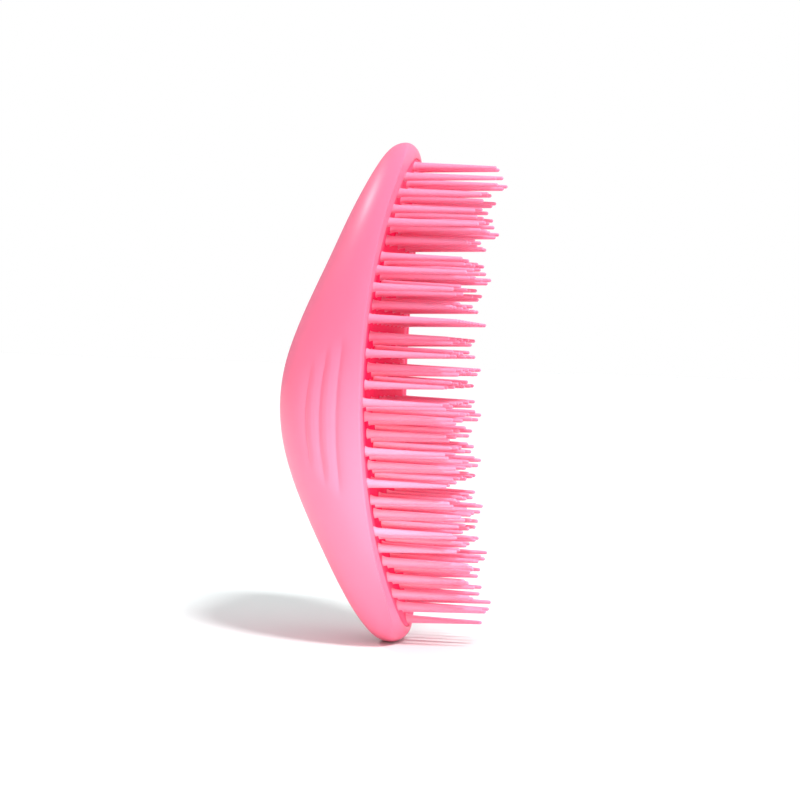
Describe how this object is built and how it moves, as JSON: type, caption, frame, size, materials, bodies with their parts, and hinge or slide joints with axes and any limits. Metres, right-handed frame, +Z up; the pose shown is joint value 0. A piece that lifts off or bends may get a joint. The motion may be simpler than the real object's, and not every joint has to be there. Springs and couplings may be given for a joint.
{
  "type": "scalp massager brush",
  "caption": "Palm-held scalp massager brush with a humped oval shell and a curved plate of soft tapered bristles in cross rows.",
  "frame": {"origin": "middle of the small flat on the lower end of the shell", "axes": "+Z up the long axis of the brush, +X the way the bristles point, +Y across the width"},
  "size_m": [0.0486, 0.065, 0.115],
  "materials": {
    "shell_plastic": "satin moulded pink plastic",
    "plate_plastic": "satin moulded pink plastic",
    "bristle_plastic": "smooth soft moulded pink elastomer"
  },
  "bodies": {
    "handle": {"back_shell": "shell_plastic", "bristle_plate": "plate_plastic"},
    "row_01": {"bristle_row_01": "bristle_plastic"},
    "row_02": {"bristle_row_02": "bristle_plastic"},
    "row_03": {"bristle_row_03": "bristle_plastic"},
    "row_04": {"bristle_row_04": "bristle_plastic"},
    "row_05": {"bristle_row_05": "bristle_plastic"},
    "row_06": {"bristle_row_06": "bristle_plastic"},
    "row_07": {"bristle_row_07": "bristle_plastic"},
    "row_08": {"bristle_row_08": "bristle_plastic"},
    "row_09": {"bristle_row_09": "bristle_plastic"},
    "row_10": {"bristle_row_10": "bristle_plastic"},
    "row_11": {"bristle_row_11": "bristle_plastic"},
    "row_12": {"bristle_row_12": "bristle_plastic"},
    "row_13": {"bristle_row_13": "bristle_plastic"},
    "row_14": {"bristle_row_14": "bristle_plastic"},
    "row_15": {"bristle_row_15": "bristle_plastic"},
    "row_16": {"bristle_row_16": "bristle_plastic"},
    "row_17": {"bristle_row_17": "bristle_plastic"},
    "row_18": {"bristle_row_18": "bristle_plastic"},
    "row_19": {"bristle_row_19": "bristle_plastic"},
    "row_20": {"bristle_row_20": "bristle_plastic"},
    "row_21": {"bristle_row_21": "bristle_plastic"},
    "row_22": {"bristle_row_22": "bristle_plastic"},
    "row_23": {"bristle_row_23": "bristle_plastic"},
    "row_24": {"bristle_row_24": "bristle_plastic"},
    "row_25": {"bristle_row_25": "bristle_plastic"},
    "row_26": {"bristle_row_26": "bristle_plastic"},
    "row_27": {"bristle_row_27": "bristle_plastic"},
    "row_28": {"bristle_row_28": "bristle_plastic"},
    "row_29": {"bristle_row_29": "bristle_plastic"},
    "row_30": {"bristle_row_30": "bristle_plastic"}
  },
  "joints": [
    {"name": "lean_01", "type": "hinge", "parent": "handle", "child": "row_01", "pos_m": [0.00313, 0, 0.10945], "axis": [0, -1, 0], "range_deg": [-9, 9], "stiffness_Nm_per_rad": 0.009},
    {"name": "lean_02", "type": "hinge", "parent": "handle", "child": "row_02", "pos_m": [0.00242, 0, 0.10635], "axis": [0, -1, 0], "range_deg": [-9, 9], "stiffness_Nm_per_rad": 0.0225},
    {"name": "lean_03", "type": "hinge", "parent": "handle", "child": "row_03", "pos_m": [0.00161, 0, 0.1025], "axis": [0, -1, 0], "range_deg": [-9, 9], "stiffness_Nm_per_rad": 0.027},
    {"name": "lean_04", "type": "hinge", "parent": "handle", "child": "row_04", "pos_m": [0.00088, 0, 0.09865], "axis": [0, -1, 0], "range_deg": [-9, 9], "stiffness_Nm_per_rad": 0.0315},
    {"name": "lean_05", "type": "hinge", "parent": "handle", "child": "row_05", "pos_m": [0.00034, 0, 0.09555], "axis": [0, -1, 0], "range_deg": [-9, 9], "stiffness_Nm_per_rad": 0.036},
    {"name": "lean_06", "type": "hinge", "parent": "handle", "child": "row_06", "pos_m": [-0.00026, 0, 0.0917], "axis": [0, -1, 0], "range_deg": [-9, 9], "stiffness_Nm_per_rad": 0.0315},
    {"name": "lean_07", "type": "hinge", "parent": "handle", "child": "row_07", "pos_m": [-0.00079, 0, 0.08785], "axis": [0, -1, 0], "range_deg": [-9, 9], "stiffness_Nm_per_rad": 0.036},
    {"name": "lean_08", "type": "hinge", "parent": "handle", "child": "row_08", "pos_m": [-0.00117, 0, 0.08475], "axis": [0, -1, 0], "range_deg": [-9, 9], "stiffness_Nm_per_rad": 0.0405},
    {"name": "lean_09", "type": "hinge", "parent": "handle", "child": "row_09", "pos_m": [-0.00158, 0, 0.0809], "axis": [0, -1, 0], "range_deg": [-9, 9], "stiffness_Nm_per_rad": 0.045},
    {"name": "lean_10", "type": "hinge", "parent": "handle", "child": "row_10", "pos_m": [-0.00191, 0, 0.07705], "axis": [0, -1, 0], "range_deg": [-9, 9], "stiffness_Nm_per_rad": 0.0405},
    {"name": "lean_11", "type": "hinge", "parent": "handle", "child": "row_11", "pos_m": [-0.00213, 0, 0.07395], "axis": [0, -1, 0], "range_deg": [-9, 9], "stiffness_Nm_per_rad": 0.045},
    {"name": "lean_12", "type": "hinge", "parent": "handle", "child": "row_12", "pos_m": [-0.00233, 0, 0.0701], "axis": [0, -1, 0], "range_deg": [-9, 9], "stiffness_Nm_per_rad": 0.0405},
    {"name": "lean_13", "type": "hinge", "parent": "handle", "child": "row_13", "pos_m": [-0.00247, 0, 0.06625], "axis": [0, -1, 0], "range_deg": [-9, 9], "stiffness_Nm_per_rad": 0.045},
    {"name": "lean_14", "type": "hinge", "parent": "handle", "child": "row_14", "pos_m": [-0.00253, 0, 0.06315], "axis": [0, -1, 0], "range_deg": [-9, 9], "stiffness_Nm_per_rad": 0.0405},
    {"name": "lean_15", "type": "hinge", "parent": "handle", "child": "row_15", "pos_m": [-0.00255, 0, 0.0593], "axis": [0, -1, 0], "range_deg": [-9, 9], "stiffness_Nm_per_rad": 0.045},
    {"name": "lean_16", "type": "hinge", "parent": "handle", "child": "row_16", "pos_m": [-0.00249, 0, 0.05545], "axis": [0, -1, 0], "range_deg": [-9, 9], "stiffness_Nm_per_rad": 0.0495},
    {"name": "lean_17", "type": "hinge", "parent": "handle", "child": "row_17", "pos_m": [-0.00239, 0, 0.05235], "axis": [0, -1, 0], "range_deg": [-9, 9], "stiffness_Nm_per_rad": 0.045},
    {"name": "lean_18", "type": "hinge", "parent": "handle", "child": "row_18", "pos_m": [-0.00221, 0, 0.0485], "axis": [0, -1, 0], "range_deg": [-9, 9], "stiffness_Nm_per_rad": 0.0405},
    {"name": "lean_19", "type": "hinge", "parent": "handle", "child": "row_19", "pos_m": [-0.00196, 0, 0.04465], "axis": [0, -1, 0], "range_deg": [-9, 9], "stiffness_Nm_per_rad": 0.045},
    {"name": "lean_20", "type": "hinge", "parent": "handle", "child": "row_20", "pos_m": [-0.00171, 0, 0.04155], "axis": [0, -1, 0], "range_deg": [-9, 9], "stiffness_Nm_per_rad": 0.0405},
    {"name": "lean_21", "type": "hinge", "parent": "handle", "child": "row_21", "pos_m": [-0.00133, 0, 0.0377], "axis": [0, -1, 0], "range_deg": [-9, 9], "stiffness_Nm_per_rad": 0.045},
    {"name": "lean_22", "type": "hinge", "parent": "handle", "child": "row_22", "pos_m": [-0.00088, 0, 0.03385], "axis": [0, -1, 0], "range_deg": [-9, 9], "stiffness_Nm_per_rad": 0.0405},
    {"name": "lean_23", "type": "hinge", "parent": "handle", "child": "row_23", "pos_m": [-0.00047, 0, 0.03075], "axis": [0, -1, 0], "range_deg": [-9, 9], "stiffness_Nm_per_rad": 0.036},
    {"name": "lean_24", "type": "hinge", "parent": "handle", "child": "row_24", "pos_m": [0.00011, 0, 0.0269], "axis": [0, -1, 0], "range_deg": [-9, 9], "stiffness_Nm_per_rad": 0.0405},
    {"name": "lean_25", "type": "hinge", "parent": "handle", "child": "row_25", "pos_m": [0.00076, 0, 0.02305], "axis": [0, -1, 0], "range_deg": [-9, 9], "stiffness_Nm_per_rad": 0.036},
    {"name": "lean_26", "type": "hinge", "parent": "handle", "child": "row_26", "pos_m": [0.00133, 0, 0.01995], "axis": [0, -1, 0], "range_deg": [-9, 9], "stiffness_Nm_per_rad": 0.0315},
    {"name": "lean_27", "type": "hinge", "parent": "handle", "child": "row_27", "pos_m": [0.00211, 0, 0.0161], "axis": [0, -1, 0], "range_deg": [-9, 9], "stiffness_Nm_per_rad": 0.027},
    {"name": "lean_28", "type": "hinge", "parent": "handle", "child": "row_28", "pos_m": [0.00296, 0, 0.01225], "axis": [0, -1, 0], "range_deg": [-9, 9], "stiffness_Nm_per_rad": 0.0225},
    {"name": "lean_29", "type": "hinge", "parent": "handle", "child": "row_29", "pos_m": [0.00371, 0, 0.00915], "axis": [0, -1, 0], "range_deg": [-9, 9], "stiffness_Nm_per_rad": 0.018},
    {"name": "lean_30", "type": "hinge", "parent": "handle", "child": "row_30", "pos_m": [0.0047, 0, 0.0053], "axis": [0, -1, 0], "range_deg": [-9, 9], "stiffness_Nm_per_rad": 0.0045}
  ]
}
